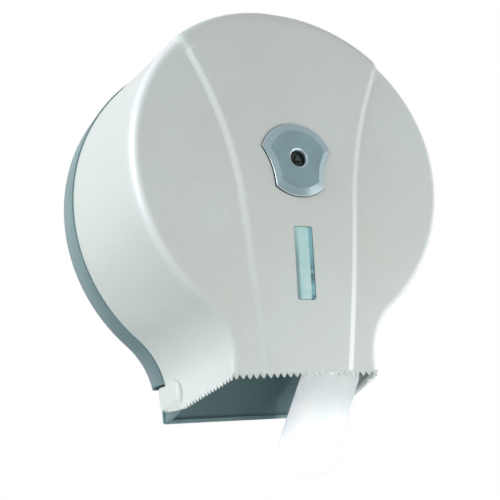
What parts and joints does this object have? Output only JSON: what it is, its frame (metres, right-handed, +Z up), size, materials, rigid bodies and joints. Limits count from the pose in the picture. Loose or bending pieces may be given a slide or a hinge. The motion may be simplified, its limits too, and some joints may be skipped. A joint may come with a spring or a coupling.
{
  "type": "toilet roll dispenser",
  "caption": "Wall-mounted jumbo toilet roll dispenser: round bulb-shaped hinged cover with a raised centre panel, lock plate, level window and toothed tear edges.",
  "frame": {"origin": "centre of the round body on the wall plane, which is also the centre of the four wall screw holes", "axes": "+Z up, +Y into the wall, +X to the right as seen by the user; the cover's face looks along -Y"},
  "size_m": [0.3, 0.1405, 0.3785],
  "materials": {
    "cover_plastic": "gloss",
    "plate_plastic": "satin",
    "badge_plastic": "gloss",
    "hub_plastic": "satin",
    "lock_plastic": "satin",
    "clear_plastic": "gloss",
    "steel": "satin",
    "cardboard": "matte",
    "tissue": "matte"
  },
  "bodies": {
    "wall_unit": {"back_plate": "plate_plastic", "spindle_post": "plate_plastic", "post_screws": "steel", "hub_retainer": "plate_plastic", "latch_striker": "steel", "striker_screws": "steel", "paper_tail": "tissue"},
    "roll": {"roll_hub": "hub_plastic", "roll_core": "cardboard", "paper_roll": "tissue"},
    "cover": {"cover": "cover_plastic", "window_lens": "clear_plastic", "lock_escutcheon": "badge_plastic", "lock_housing": "lock_plastic", "lock_screws": "steel", "hinge_pin_left": "steel", "hinge_pin_right": "steel"},
    "lock": {"lock_barrel": "lock_plastic", "lock_cam": "steel", "lock_cam_screw": "steel"}
  },
  "joints": [
    {"name": "cover_hinge", "type": "hinge", "parent": "wall_unit", "child": "cover", "pos_m": [0, -0.0145, -0.158], "axis": [1, 0, 0], "range_deg": [0, 90]},
    {"name": "roll_spin", "type": "hinge", "parent": "wall_unit", "child": "roll", "pos_m": [0, -0.05, 0.012], "axis": [0, 1, 0], "continuous": true},
    {"name": "lock_turn", "type": "hinge", "parent": "cover", "child": "lock", "pos_m": [0, -0.125, 0.012], "axis": [0, -1, 0], "range_deg": [0, 90]}
  ]
}
